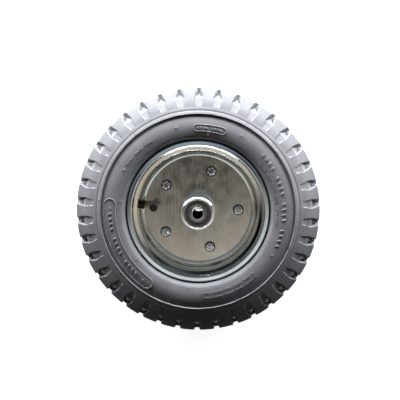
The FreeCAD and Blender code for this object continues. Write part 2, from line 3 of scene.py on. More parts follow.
import bmesh
import bpy
import numpy as np
from mathutils import Matrix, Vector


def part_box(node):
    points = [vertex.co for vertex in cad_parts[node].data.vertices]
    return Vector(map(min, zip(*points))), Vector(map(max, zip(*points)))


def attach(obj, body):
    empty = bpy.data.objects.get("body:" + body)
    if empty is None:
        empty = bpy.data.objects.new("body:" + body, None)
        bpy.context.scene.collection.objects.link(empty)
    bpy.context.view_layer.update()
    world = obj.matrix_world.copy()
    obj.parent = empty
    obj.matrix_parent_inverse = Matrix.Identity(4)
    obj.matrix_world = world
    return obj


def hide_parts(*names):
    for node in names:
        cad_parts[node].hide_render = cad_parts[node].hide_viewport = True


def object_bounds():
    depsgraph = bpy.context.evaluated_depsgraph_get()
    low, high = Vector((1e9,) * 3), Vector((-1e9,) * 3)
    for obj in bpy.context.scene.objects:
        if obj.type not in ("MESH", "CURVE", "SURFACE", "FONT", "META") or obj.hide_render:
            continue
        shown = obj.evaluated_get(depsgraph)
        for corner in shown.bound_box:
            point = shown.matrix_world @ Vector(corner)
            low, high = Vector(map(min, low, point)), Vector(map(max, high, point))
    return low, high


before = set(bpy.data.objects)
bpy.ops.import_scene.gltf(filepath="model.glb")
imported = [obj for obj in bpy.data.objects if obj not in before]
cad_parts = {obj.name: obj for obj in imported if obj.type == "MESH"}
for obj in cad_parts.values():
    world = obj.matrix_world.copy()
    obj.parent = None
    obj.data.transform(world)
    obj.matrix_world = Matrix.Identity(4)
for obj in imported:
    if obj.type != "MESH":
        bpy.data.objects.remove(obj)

cad_low, cad_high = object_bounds()

# Tyre
# The wheel's outside is one moulding of grey rubber over a cord casing, cured in a two-part mould.
# Its beads sit in the two rim halves and the inner tube holds it out. The shoulders carry scooped
# notches between the lugs, and a zigzag groove runs round the crown.

MM = 0.001
WHEEL = "wheel"


def mm_box(node):
    """The lowest and highest corner of a CAD node, in millimetres."""
    low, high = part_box(node)
    return np.array(low) / MM, np.array(high) / MM


def linear(code):
    """An sRGB hex colour in Blender's linear light: the inverse of the sRGB curve, with an alpha of 1."""
    shares = np.array([int(code[k:k + 2], 16) for k in (1, 3, 5)]) / 255
    light = np.where(shares <= 0.04045, shares / 12.92, ((shares + 0.055) / 1.055) ** 2.4)
    return (*light, 1.0)


def add(material, kind, inputs=None, stops=(), **settings):
    """Adds one node with its settings, its inputs and, on a colour ramp, its (position, hex code) stops.
    An input is a value, another node's output, or a node, which stands for its first output in use."""
    tree = material.node_tree
    node = tree.nodes.new(kind)
    for name, value in settings.items():
        setattr(node, name, value)
    for name, value in (inputs or {}).items():
        if isinstance(value, bpy.types.Node):
            value = next(output for output in value.outputs if output.enabled)
        if isinstance(value, bpy.types.NodeSocket):
            tree.links.new(value, node.inputs[name])
        else:
            node.inputs[name].default_value = value
    if stops:
        elements = node.color_ramp.elements
        elements[0].position, elements[1].position = stops[0][0], stops[-1][0]
        for position, code in stops[1:-1]:
            elements.new(position)
        for element, (position, code) in zip(elements, stops):
            element.color = linear(code)
    return node


def blank(name):
    """A new material with no nodes yet."""
    material = bpy.data.materials.new(name)
    material.use_nodes = True
    material.node_tree.nodes.clear()
    return material


def shade(material, inputs, relief, depth, strength=0.4):
    """Ends a material in its shader, with these inputs and a relief that is depth millimetres deep."""
    bump = add(material, "ShaderNodeBump", {"Height": relief, "Strength": strength, "Distance": depth * MM})
    shader = add(material, "ShaderNodeBsdfPrincipled", {**inputs, "Normal": bump})
    add(material, "ShaderNodeOutputMaterial", {"Surface": shader})


def clouds(material, size, detail=3.0, stretch=(1.0, 1.0, 1.0)):
    """Random clouds about size millimetres across, which are fixed to the object."""
    place = add(material, "ShaderNodeTexCoord").outputs["Object"]
    scaled = add(material, "ShaderNodeMapping", {"Vector": place, "Scale": stretch})
    return add(material, "ShaderNodeTexNoise", {"Vector": scaled, "Scale": 1 / (size * MM), "Detail": detail})


def tinted(material, size, stops, detail=3.0):
    """A colour that passes through the stops over clouds about size millimetres across."""
    return add(material, "ShaderNodeValToRGB", {"Fac": clouds(material, size, detail)}, stops)


def wandering(material, size, low, high):
    """A value that wanders from low to high over patches about size millimetres across."""
    return add(material, "ShaderNodeMapRange", {
        "Value": clouds(material, size), "From Min": 0.3, "From Max": 0.7, "To Min": low, "To Max": high})


def axis_distance(material):
    """Distance of a point from the wheel's axis, in metres: the length of its X and Y."""
    place = add(material, "ShaderNodeTexCoord").outputs["Object"]
    flat = add(material, "ShaderNodeVectorMath", {0: place, 1: (1, 1, 0)}, operation="MULTIPLY")
    return add(material, "ShaderNodeVectorMath", {0: flat}, operation="LENGTH")


def outwards(material, near, far, first, last):
    """A value that goes from first to last between two distances from the axis, in millimetres."""
    return add(material, "ShaderNodeMapRange", {
        "Value": axis_distance(material), "From Min": near * MM, "From Max": far * MM,
        "To Min": first, "To Max": last})


def turning_lines(material, spacing):
    """A wave of fine rings about the wheel's axis, spacing millimetres apart."""
    turns = add(material, "ShaderNodeMath", {
        0: axis_distance(material), 1: 2 * math.pi / (spacing * MM)}, operation="MULTIPLY")
    return add(material, "ShaderNodeMath", {0: turns}, operation="SINE")


def quads(rows, columns, loop):
    """Corner numbers of the quads between neighbours of a grid whose columns go all the way round."""
    i = np.arange(rows if loop else rows - 1)[:, None]
    j = np.arange(columns)[None, :]
    here, on, right = i * columns, (i + 1) % rows * columns, (j + 1) % columns
    return np.stack(np.broadcast_arrays(here + j, here + right, on + right, on + j), -1).reshape(-1, 4)


def piece(name, grids, material, body, replaces=(), loop=True, crease=38):
    """A closed smooth mesh from grids of places in millimetres. A grid's columns close on themselves;
    its rows do too where loop is set, and otherwise its first and last row are single points.
    The faces are turned outwards, which the sign of the enclosed volume tells."""
    places, faces, first = [], [], 0
    for grid in grids:
        flat = grid.reshape(-1, 3) * MM
        corners = quads(grid.shape[0], grid.shape[1], loop)
        a, b, c, d = (flat[corners[:, k]] for k in range(4))
        volume = (np.cross(a, b) * c).sum() + (np.cross(a, c) * d).sum()
        faces.append((corners if volume > 0 else corners[:, ::-1]) + first)
        places.append(flat)
        first += len(flat)
    places = np.concatenate(places).astype(np.float32)
    faces = np.concatenate(faces).astype(np.int32)
    mesh = bpy.data.meshes.new(name)
    mesh.vertices.add(len(places))
    mesh.vertices.foreach_set("co", places.ravel())
    mesh.loops.add(faces.size)
    mesh.loops.foreach_set("vertex_index", faces.ravel())
    mesh.polygons.add(len(faces))
    mesh.polygons.foreach_set("loop_start", np.arange(0, faces.size, 4, dtype=np.int32))
    mesh.update(calc_edges=True)
    if not loop:
        welded = bmesh.new()
        welded.from_mesh(mesh)
        bmesh.ops.remove_doubles(welded, verts=welded.verts, dist=1e-7)
        welded.to_mesh(mesh)
        welded.free()
    mesh.polygons.foreach_set("use_smooth", np.ones(len(mesh.polygons), bool))
    mesh.set_sharp_from_angle(angle=math.radians(crease))
    mesh.materials.append(material)
    thing = bpy.data.objects.new(name, mesh)
    bpy.context.scene.collection.objects.link(thing)
    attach(thing, body)
    if replaces:
        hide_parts(*replaces)
    return thing


def arc_through(start, middle, end, count):
    """Places on the circle through three points, whose centre is equally far from all of them."""
    a, b, c = (np.array(p, float) for p in (start, middle, end))
    centre = np.linalg.solve(2 * np.array([b - a, c - a]), [b @ b - a @ a, c @ c - a @ a])
    turns = np.unwrap([math.atan2(p[1], p[0]) for p in (a - centre, b - centre, c - centre)])
    turn = np.linspace(turns[0], turns[2], count)
    return centre + np.hypot(*(a - centre)) * np.stack([np.cos(turn), np.sin(turn)], -1)


def unit(vectors):
    return vectors / np.linalg.norm(vectors, axis=-1, keepdims=True)


def rounded(corners, closed=False, steps=7):
    """Lines through (radius, height, rounding) corners with a tangent arc at each. An arc's centre lies
    on its corner's bisector, rounding / sin(half the angle) away. A little of the straight run is kept
    on both sides of an arc, so that the flats beside it shade flat."""
    places = np.array([c[:2] for c in corners], float)
    rounding = np.array([c[2] for c in corners], float)
    if closed:
        places = np.concatenate([places[-1:], places, places[:1]])
    else:
        rounding = rounding[1:-1]
    here = places[1:-1]
    back, on = unit(places[:-2] - here), unit(places[2:] - here)
    half = np.arccos(np.clip((back * on).sum(-1), -1, 1))[:, None] / 2
    rounding = rounding[:, None]
    centre = here + unit(back + on) * rounding / np.sin(half)
    start = here + back * rounding / np.tan(half)
    end = here + on * rounding / np.tan(half)
    share = np.linspace(0, 1, steps)[:, None, None]
    turn = math.pi - 2 * half
    from_start, from_end = np.sin((1 - share) * turn), np.sin(share * turn)
    arcs = ((start - centre) * from_start + (end - centre) * from_end) / np.sin(turn)
    hold = rounding * 0.25
    runs = np.concatenate([[start + back * hold], centre + arcs, [end + on * hold]])
    runs = runs.transpose(1, 0, 2).reshape(-1, 2)
    if closed:
        return runs
    ends = places[[0, -1]] + unit(runs[[0, -1]] - places[[0, -1]]) * 0.3
    return np.concatenate([places[:1], ends[:1], runs, ends[1:], places[-1:]])


def between(start, end, shares):
    start, end = np.array(start, float), np.array(end, float)
    return start + np.array(shares)[:, None] * (end - start)


tyre_radius = mm_box("tyre")[1][0]
side_height = mm_box("tyre")[1][2]
lip_radius = mm_box("front_rim_half")[1][0]
lip_top = mm_box("front_rim_half")[1][2]
lip_edge = lip_top - 3.5
crest_radius = lip_radius + 16
crown_radius = 57.0
step_radius = crest_radius + 16
shoulder_foot = np.array([step_radius + 9.5, side_height - 3])
tread_drop = 2.2
tread_edge = np.array([tyre_radius - tread_drop, 29.5])
shoulder_out = unit(np.array([-(tread_edge - shoulder_foot)[1], (tread_edge - shoulder_foot)[0]]))
shoulder_middle = (shoulder_foot + tread_edge) / 2 + shoulder_out * 1.2
edge_out = unit(shoulder_out + (1, 0))

lug_count = 38
lug_phase = math.radians(-5.2)
lug_pitch = 2 * math.pi / lug_count
rib_half_width = 13.0
notch_depth = 7.5
notch_half_widths = [3.5, 6.1, 3.9, 3.0]
floor_half_widths = [3.5, 5.5, 0.6, 0.6]
columns_per_lug = 20
zigzag_depth = 4.0
zigzag_swing = 2.4


def sidewall_height(radius):
    """The sidewall's crown is an arc about its highest ring."""
    return side_height - crown_radius + np.sqrt(crown_radius ** 2 - (radius - crest_radius) ** 2)


def tread_radius(height):
    """The crown's radius, which falls off with the square of the distance from the middle."""
    return tyre_radius - tread_drop * (np.abs(height) / tread_edge[1]) ** 2


def plain_wall():
    """Rings of the outside from the bead to the notches: bead, knee, crown, step and shoulder ring."""
    bead_toe, bead_heel, flange_foot = (78.67, 15.4), (79.07, 19), (84.85, 28.3)
    bead = np.array([bead_toe, bead_heel, flange_foot, (lip_radius - 0.6, lip_edge - 1.6)])
    knee_end = np.array([lip_radius + 7, sidewall_height(lip_radius + 7)])
    slope = math.asin((crest_radius - knee_end[0]) / crown_radius)
    knee = knee_end - np.array([math.cos(slope), math.sin(slope)]) * 3.8
    root = rounded([(lip_radius + 1, lip_edge + 0.6, 0), (*knee, 5.0), (*knee_end, 0)])[[0, *range(2, 10)]]
    crown_radii = np.append(np.linspace(knee_end[0], step_radius - 0.4, 14), step_radius)
    crown = np.stack([crown_radii, sidewall_height(crown_radii)], -1)
    step_high = (step_radius + 0.8, side_height - 0.6)
    step = between(crown[-1], step_high, (0.35, 0.75, 1.0))
    ring = between(step_high, shoulder_foot, (0.06, 0.25, 0.38, 0.43, 0.48, 0.53, 0.8, 0.95))
    ring[3:5, 1] -= 0.22
    return np.concatenate([bead, root, crown, step, ring])


def front_rows():
    """One row of numbers for each ring of the front half's outside, from the bead to the crown:
    radius and height of the lug surface, radius and height of the notch floor, half widths of the
    notch and of its floor, how far the columns gather at the notch, the share of the zigzag's swing,
    and the depth of the zigzag's groove. A notch is set at four stations: the shoulder's foot and
    middle, the tread's edge, and the rib beside the zigzag, where it ends."""
    plain = plain_wall()
    shoulder = arc_through(shoulder_foot, shoulder_middle, tread_edge, 15)
    heights = np.array([29.2, 28.6, 27, 24, 20.5, 17, 14.5, rib_half_width + 0.3, rib_half_width - 0.2,
                        9, 5.5, 2.4, 1.65, 1.35, 0])
    tread = np.stack([tread_radius(heights), heights], -1)
    surface = np.concatenate([plain, shoulder, tread])
    station = np.concatenate([np.zeros(len(plain)), np.linspace(0, 2, len(shoulder)),
                              2 + (tread_edge[1] - heights) / (tread_edge[1] - rib_half_width)])
    floor_places = np.array([
        shoulder_foot, shoulder_middle - shoulder_out * 1.2, tread_edge - edge_out * notch_depth,
        [tyre_radius - notch_depth, rib_half_width]])
    cut = (station > 0) & (station <= 3)
    floor = np.stack([np.interp(station, range(4), floor_places[:, k]) for k in range(2)], -1)
    floor = np.where(cut[:, None], floor, surface)
    half_width = np.interp(station, range(4), notch_half_widths)
    floor_half = np.minimum(np.interp(station, range(4), floor_half_widths), half_width - 0.4)
    gather = np.clip((surface[:, 0] - step_radius) / 6, 0, 1)
    gather[-6:] = 0.35
    swing = np.zeros(len(surface))
    swing[-5:] = [0.5, 1, 1, 1, 1]
    groove = np.zeros(len(surface))
    groove[-2:] = zigzag_depth
    return np.column_stack([surface, floor, half_width, floor_half, gather, swing, groove])


def inside_rows():
    """Rings of the casing's inside, from the rear bead round to the front one. Its straight runs are
    bowed outwards by a parabola."""
    bead_top = np.array([87.17, 17.4])
    wall = np.array([crest_radius, side_height - 4.5])
    corner = tread_edge - edge_out * 12
    shares = np.array([0.3, 0.6, 1])
    bow = (4 * shares * (1 - shares))[:, None]
    upper, lower = between(corner, wall, shares), between(wall, bead_top, shares)
    upper += bow * unit((wall - corner)[::-1] * (1, -1)) * np.hypot(*(wall - corner)) / 8
    lower += bow * unit((bead_top - wall)[::-1] * (1, -1)) * np.hypot(*(bead_top - wall)) / 8
    front = np.concatenate([[[tyre_radius - 11, 0]], [corner], upper, lower])
    rings = np.concatenate([front[:0:-1] * (1, -1), front])
    return np.column_stack([rings, rings, np.tile([3.5, 3.1, 0, 0, 0], (len(rings), 1))])


def tyre_places():
    """Each row is turned round the axis. Within half a lug pitch its columns gather at the edge of the
    notch and at the edge of the notch's floor, and a point's place is the lug surface moved towards the
    notch floor by the share of the wall that it has gone down. The rear rows are turned by half a pitch."""
    front = front_rows()
    rear = front[-2::-1] * (1, -1, 1, -1, 1, 1, 1, 1, 1)
    rows = np.concatenate([front, rear, inside_rows()])
    surface, floor = rows[:, 0:2], rows[:, 2:4]
    half_width, floor_half, gather, swing, groove = rows[:, 4:].T
    half_pitch = surface[:, 0] * lug_pitch / 2
    knots = np.stack([np.zeros(len(rows)), floor_half, half_width - 0.12, half_width + 0.25,
                      half_width + 0.9, half_pitch], -1) / half_pitch[:, None]
    half = columns_per_lug // 2
    column = np.arange(half + 1)
    column_at_knot = np.array([0, 3, 5, 6, 7, half])
    even = column_at_knot / half
    knots = even + gather[:, None] * (knots - even)
    share = knots @ np.stack([np.interp(column, column_at_knot, weight) for weight in np.eye(6)])
    down = np.interp(column, column_at_knot, [1, 1, 0.02, 0, 0, 0])
    share = np.tile(np.concatenate([share, 2 - share[:, half - 1:0:-1]], 1), lug_count) / 2
    down = np.tile(np.concatenate([down, down[half - 1:0:-1]]), lug_count)
    outside = len(front) + len(rear)
    travel = np.clip((rib_half_width - surface[:outside, 1]) / (2 * rib_half_width), 0, 1)
    shift = np.zeros(len(rows))
    shift[:outside] = (3 * travel ** 2 - 2 * travel ** 3) / 2
    turns = share + np.repeat(np.arange(lug_count), columns_per_lug) + shift[:, None]
    angle = lug_phase + lug_pitch * turns
    zigzag = zigzag_swing * (4 * np.abs(turns % 1 - 0.5) - 1)
    radius = surface[:, :1] + (floor - surface)[:, :1] * down - groove[:, None]
    height = surface[:, 1:] + (floor - surface)[:, 1:] * down + zigzag * swing[:, None]
    return np.stack([radius * np.cos(angle), radius * np.sin(angle), height], -1)


# Tyre rubber is natural and butadiene rubber filled with a little carbon black and chalk, moulded
# against spark-eroded steel: a cool mid grey, satin, with a fine grain and faint turning rings. It is
# darkened beside the rim as painted shade under the lip, and out on the tread as painted shade that
# keeps the lit lugs from going white.
rubber = blank("moulded_grey_tyre_rubber")
clean = tinted(rubber, 26, ((0.3, "#73757a"), (0.7, "#7e8084")))
# Painted shade: the rubber is darkened towards the rim, where the lip shades it.
rim_shade_share = outwards(rubber, lip_radius + 1.5, lip_radius + 6.5, 0.5, 0.0)
rim_shaded = add(rubber, "ShaderNodeMix", {"Factor": rim_shade_share, 6: clean, 7: linear("#303134")}, data_type="RGBA")
# Painted shade: the rubber is darkened out on the tread, so that the lugs' lit faces stay grey.
tread_shade_share = outwards(rubber, tyre_radius - 14, tyre_radius - 1, 0.0, 1.0)
painted_shade_colour = add(rubber, "ShaderNodeMix", {"Factor": tread_shade_share, 6: rim_shaded, 7: linear("#5f6165")}, data_type="RGBA")
rings_and_grain = add(rubber, "ShaderNodeMath", {
    0: turning_lines(rubber, 1.1), 1: 0.12, 2: clouds(rubber, 0.7, 2.0)}, operation="MULTIPLY_ADD")
shade(rubber, {"Base Color": painted_shade_colour, "Roughness": wandering(rubber, 9, 0.46, 0.58), "Specular IOR Level": 0.2},
      rings_and_grain, 0.07, 0.5)

piece("moulded_tyre", [tyre_places()], rubber, WHEEL, ["tyre"], crease=60)

# Marks on the sidewall
# The mould leaves raised marks on the wall: a bordered plaque, an oval frame, rows of small blocks
# where makers put their text, and short stubs where rubber ran into the mould's vents. They are bare
# here and carry no words.


def on_wall(angle, radius, rise):
    """Places on the sidewall, given in degrees and millimetres, raised by some millimetres. The wall's
    height at a radius is read off the rings of its mesh, between which the mesh is straight."""
    rings = plain_wall()[4:]
    turn = np.radians(angle)
    height = np.interp(radius, rings[:, 0], rings[:, 1]) + rise
    return np.stack([radius * np.cos(turn), radius * np.sin(turn), height], -1)


def block(angle, radius, long, wide, lean=0.0, rise=0.55):
    """A small raised block: a superellipsoid, whose cosines and sines are taken to a power under one so
    that its sides stand up and its top is flat. It lies along the ring and leans by some degrees."""
    latitude = np.linspace(-math.pi / 2, math.pi / 2, 9)[:, None]
    longitude = np.linspace(0, 2 * math.pi, 16, endpoint=False)

    def power(value, exponent):
        return np.sign(value) * np.abs(value) ** exponent

    girth = power(np.cos(latitude), 0.35)
    along = girth * power(np.cos(longitude), 0.5) * long / 2
    across = girth * power(np.sin(longitude), 0.5) * wide / 2
    up = power(np.sin(latitude), 0.35) * rise + 0 * longitude
    tip = math.radians(lean)
    ring_way = along * math.cos(tip) - across * math.sin(tip)
    out_way = along * math.sin(tip) + across * math.cos(tip)
    return on_wall(angle + np.degrees(ring_way / radius), radius + out_way, up)


def row_of_blocks(first, last, radius, count, long, wide, lean=0.0):
    """Blocks with even gaps, apart from every fifth place, which stays empty like a space in text."""
    angles = np.linspace(first, last, count)
    return [block(angle, radius, long, wide, lean) for k, angle in enumerate(angles) if k % 5 != 4]


def rail(first, last, inner, outer, width=0.9, rise=0.5):
    """A raised border: a half-round bar whose centre line is a slot shape with round ends."""
    middle, reach = (inner + outer) / 2, (outer - inner) / 2
    half = math.radians(last - first) / 2 * middle - reach
    end = np.linspace(-math.pi / 2, math.pi / 2, 14)
    straight = np.linspace(-half, half, 40)[1:-1]
    level = 0 * straight
    out, over = reach * np.cos(end), reach * np.sin(end)
    along = np.concatenate([half + out, straight[::-1], -half - out, straight])
    across = np.concatenate([over, reach + level, -over, -reach + level])
    path = np.stack([along, across], -1)
    way = unit(np.roll(path, -1, 0) - np.roll(path, 1, 0))
    side = way[:, ::-1] * (1, -1)
    turn = np.linspace(0, 2 * math.pi, 10, endpoint=False)
    spot = path[:, None] + side[:, None] * (np.cos(turn) * width / 2)[None, :, None]
    angle = (first + last) / 2 + np.degrees(spot[..., 0] / middle)
    return on_wall(angle, middle + spot[..., 1], np.sin(turn) * rise)


block_rows = (
    (181, 228, 110.4, 15, 4.8, 2.0, 62), (74, 90, 105.6, 9, 2.8, 1.5, 75),
    (-23, 45, 107.8, 20, 5.0, 2.2, 68), (-9, 34, 98.6, 27, 2.0, 1.0, 75),
    (122, 145, 105.8, 14, 2.8, 1.3, 75), (274, 312, 103.2, 26, 2.3, 1.1, 75),
    (274, 312, 109.6, 26, 2.3, 1.1, 75))
wall_blocks = [mark for row in block_rows for mark in row_of_blocks(*row)]
pips = [(104.3, 108.8), (60.6, 110.1), (149.7, 106.0), (330.0, 107.6), (231.0, 110.4), (177.3, 110.4)]
wall_blocks += [block(angle, radius, 1.8, 1.8, 0, 0.8) for angle, radius in pips]
stubs = [(angle, step_radius + 2.6) for angle in (352.7, 262.8, 217.6, 172.3, 128.0, 82.3, 37.9)]
stubs += [(angle, lip_radius + 7.5) for angle in (263.1, 217.4, 171.8, 128.2, 82.6, 38.1)]
wall_blocks += [block(angle, radius, 0.9, 2.2, 0, 0.7) for angle, radius in stubs]
piece("sidewall_marks", wall_blocks, rubber, WHEEL, loop=False, crease=60)
piece("sidewall_borders", [rail(171, 237.8, 103.1, 117.5), rail(70.9, 92.8, 101.4, 109.7, 0.8, 0.45)],
      rubber, WHEEL, crease=60)

# Rim halves
# Each is one disc of 2 mm sheet steel, pressed into a dish with a flared barrel, a flange that the
# bead sits against and a rolled lip, then bright zinc plated. The two are bolted back to back.


def turned(outline, columns=240):
    """A profile of (radius, height) carried round the axis: x = r cos a, y = r sin a."""
    turn = np.linspace(0, 2 * math.pi, columns, endpoint=False)
    radius, height = outline[:, :1], outline[:, 1:]
    return np.stack([radius * np.cos(turn), radius * np.sin(turn), height + 0 * turn], -1)


def sheet_section(path, thickness):
    """A closed outline: a path, and the same path moved by the sheet's thickness along its normals."""
    on = unit(np.diff(path, axis=0))
    along = unit(np.concatenate([on[:1], on]) + np.concatenate([on, on[-1:]]))
    return np.concatenate([path, (path + thickness * along[:, ::-1] * (1, -1))[::-1]])


hub_radius = 20.2
sheet = 2.0
disc_radius = 75.0
barrel_end = (76.9, 25.2)
seat_end = (82.3, 28.4)


def rim_path():
    """The side of a rim half that shows: disc, barrel, a sloping seat in the flange, and rolled lip."""
    return rounded([
        (hub_radius + 0.2, sheet, 0), (disc_radius, sheet, 6.0), (*barrel_end, 2.2), (*seat_end, 1.6),
        (lip_radius - 6.6, lip_top, 1.6), (lip_radius - 0.1, lip_top - 0.5, 2.2),
        (lip_radius, lip_edge, 0)], steps=13)


def plated(material, tint, roughness, grain):
    """What bright zinc plate gives the shader: a tint, and a roughness that varies with the grain and
    with clouds about 14 mm across."""
    varied = add(material, "ShaderNodeMath", {0: grain, 1: clouds(material, 14, 4.0)}, operation="ADD")
    rough = add(material, "ShaderNodeMapRange", {
        "Value": varied, "From Min": 0.7, "From Max": 1.3,
        "To Min": roughness - 0.04, "To Max": roughness + 0.06})
    return {"Base Color": tint, "Metallic": 1.0, "Roughness": rough}


# Bright zinc on cold-rolled sheet: semi-gloss, so that nuts and hub mirror in the disc as soft blurs,
# with the sheet's rolling lines along one direction. Its tint is a painted reflection: a warm grey on
# the disc and cooler further out. Where the tools drew the sheet over their edges, from the barrel out
# to the lip, it is ironed smoother and mirrors in narrow sharp bands.
rim_zinc = blank("bright_zinc_plated_sheet")
# Painted reflection: warm grey on the disc, going cooler from the barrel outwards.
warm = tinted(rim_zinc, 24, ((0.35, "#cfcac0"), (0.65, "#dad6cd")), 4.0)
cool = tinted(rim_zinc, 30, ((0.35, "#c6d0d6"), (0.65, "#d5dde1")))
outer = outwards(rim_zinc, disc_radius - 8, disc_radius - 1, 0.0, 1.0)
painted_reflection_tint = add(rim_zinc, "ShaderNodeMix", {"Factor": outer, 6: warm, 7: cool}, data_type="RGBA")
rolled = clouds(rim_zinc, 0.8, 3.0, (1.0, 0.08, 1.0))
rim_looks = plated(rim_zinc, painted_reflection_tint, 0.18, rolled)
ironed = outwards(rim_zinc, disc_radius - 0.5, disc_radius + 3, 1.0, 0.55)
rim_looks["Roughness"] = add(
    rim_zinc, "ShaderNodeMath", {0: rim_looks["Roughness"], 1: ironed}, operation="MULTIPLY")
shade(rim_zinc, rim_looks, rolled, 0.008)

front_rim = turned(sheet_section(rim_path(), sheet), 360)
piece("front_rim", [front_rim], rim_zinc, WHEEL, ["front_rim_half"])
piece("rear_rim", [front_rim * (1, 1, -1)], rim_zinc, WHEEL, ["rear_rim_half"])

# Hub tube
# A thick steel tube turned out at both ends for the bearings and zinc plated. It is welded to the
# front disc all round, and the weld's ripples show under the plating.

hub_low, hub_high = mm_box("hub_tube")[0][2], mm_box("hub_tube")[1][2]
bearing_radius = 17.5
bearing_depth = 11.6


def hub_section():
    """The tube's wall with a bearing seat at each end, whose faces fall off a little towards the edge."""
    edge, bore = hub_radius - 0.5, bearing_radius - 2.4
    low_seat, high_seat = hub_low + bearing_depth, hub_high - bearing_depth
    return rounded([
        (bearing_radius, hub_high, 0.2), (edge, hub_high - 0.3, 0.15), (hub_radius, hub_high - 0.8, 0.15),
        (hub_radius, hub_low + 0.8, 0.15), (edge, hub_low + 0.3, 0.15), (bearing_radius, hub_low, 0.2),
        (bearing_radius, low_seat, 0.2), (bore, low_seat, 0.2), (bore, high_seat, 0.2),
        (bearing_radius, high_seat, 0.2)], closed=True)


def weld_bead():
    """A round bead about the hub whose thickness ripples: the ripple's phase runs ahead towards the
    bead's top, which bends each ripple into the crescent that a welder's torch leaves."""
    turn = np.linspace(0, 2 * math.pi, 720, endpoint=False)
    section = np.linspace(0, 2 * math.pi, 18, endpoint=False)[:, None]
    thickness = 1.5 + 0.1 * np.cos(64 * turn + 1.4 * np.sin(section)) + 0.08 * np.cos(5 * turn)
    radius = hub_radius + 0.7 + thickness * np.cos(section)
    height = sheet + 0.7 + thickness * np.sin(section)
    return np.stack([radius * np.cos(turn), radius * np.sin(turn), height + 0 * turn], -1)


zinc_on_steel = ((0.35, "#d2d5d6"), (0.65, "#e2e4e4"))


def plated_steel(name, cloud, stops, roughness, grain_size, depth):
    """A plated material whose tint passes through the stops over clouds, and whose grain is depth deep."""
    material = blank(name)
    grain = clouds(material, grain_size)
    shade(material, plated(material, tinted(material, cloud, stops), roughness, grain), grain, depth)
    return material


# Turned steel under zinc: brighter and smoother than the disc, with only a faint grain.
hub_zinc = plated_steel("turned_zinc_plated_hub", 12, zinc_on_steel, 0.1, 0.5, 0.004)
piece("hub", [turned(hub_section()), weld_bead()], hub_zinc, WHEEL, ["hub_tube"])

# Axle sleeve and spacer
# A drawn steel tube passes through both inner races and takes the axle. A second tube on it keeps
# the races apart, out of sight.

sleeve_low, sleeve_high = mm_box("axle_sleeve")[0][2], mm_box("axle_sleeve")[1][2]
sleeve_bore, sleeve_radius = 6.5, 7.94
CORE = "axle_core"

# Drawn tube under zinc, with its grain drawn out along it. Its bore is painted shade: black, with no
# metal or shine, except near its rear end.
sleeve_zinc = blank("drawn_zinc_plated_tube")
along_axis = add(sleeve_zinc, "ShaderNodeSeparateXYZ", {
    "Vector": add(sleeve_zinc, "ShaderNodeTexCoord").outputs["Object"]}).outputs["Z"]
rear_end = add(sleeve_zinc, "ShaderNodeMapRange", {
    "Value": along_axis, "From Min": -34 * MM, "From Max": -28 * MM, "To Min": 1.0, "To Max": 0.0})
# Painted shade: inside the bore the tube is black, with no metal or shine, apart from near its rear end.
past_bore = outwards(sleeve_zinc, sleeve_bore + 0.02, sleeve_bore + 0.1, 0.0, 1.0)
unshaded_zinc = add(sleeve_zinc, "ShaderNodeMath", {0: past_bore, 1: rear_end}, operation="MAXIMUM")
sleeve_tint = add(sleeve_zinc, "ShaderNodeMix", {
    "Factor": unshaded_zinc, 6: linear("#0a0a0a"), 7: tinted(sleeve_zinc, 12, zinc_on_steel)}, data_type="RGBA")
drawn = clouds(sleeve_zinc, 0.6, 3.0, (1.0, 1.0, 0.1))
shade(sleeve_zinc, {
    **plated(sleeve_zinc, sleeve_tint, 0.14, drawn), "Metallic": unshaded_zinc,
    "Specular IOR Level": add(sleeve_zinc, "ShaderNodeMath", {0: unshaded_zinc, 1: 0.5}, operation="MULTIPLY"),
}, drawn, 0.003)

sleeve_section = rounded([
    (sleeve_bore, sleeve_low, 0.2), (sleeve_radius, sleeve_low, 0.2),
    (sleeve_radius, sleeve_high, 0.2), (sleeve_bore, sleeve_high, 0.2)], closed=True)
piece("sleeve", [turned(sleeve_section, 120)], sleeve_zinc, CORE, ["axle_sleeve"])


def dress(node, material):
    """Gives a CAD node that stays in view the material of the real piece."""
    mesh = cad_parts[node].data
    mesh.materials.clear()
    mesh.materials.append(material)


dress("bearing_spacer", sleeve_zinc)

# Bearings
# Two sealed deep-groove ball bearings of 35 mm, ground from bearing steel, with pressed cages and
# nitrile seals that are moulded on a steel ring. The seals stay with the outer race.

ball_circle = (bearing_radius + sleeve_radius) / 2
groove_radius = 3.01
half_bearing = 5.5
seal_seat = half_bearing - 1.1


def groove(land, bulge):
    """The ball track's arc, between the two places where it meets the land."""
    reach = math.sqrt(groove_radius ** 2 - (land - ball_circle) ** 2)
    return arc_through((land, reach), (ball_circle + bulge * groove_radius, 0), (land, -reach), 11)


def outer_race_section():
    """The race's outline with the two seats for the seals, and the ball track in its land."""
    shell = rounded([
        (15.0, -seal_seat, 0.1), (16.4, -seal_seat, 0.1), (16.4, -half_bearing, 0.12),
        (bearing_radius, -half_bearing, 0.4), (bearing_radius, half_bearing, 0.4), (16.4, half_bearing, 0.12),
        (16.4, seal_seat, 0.1), (15.0, seal_seat, 0.1)], closed=True)
    return np.concatenate([shell, groove(15.0, 1)])


def inner_race_section():
    """The race's outline, and the ball track in its land."""
    shell = rounded([
        (10.4, half_bearing, 0.2), (sleeve_radius, half_bearing, 0.15),
        (sleeve_radius, -half_bearing, 0.15), (10.4, -half_bearing, 0.2)], closed=True)
    return np.concatenate([shell, groove(10.4, -1)[::-1]])


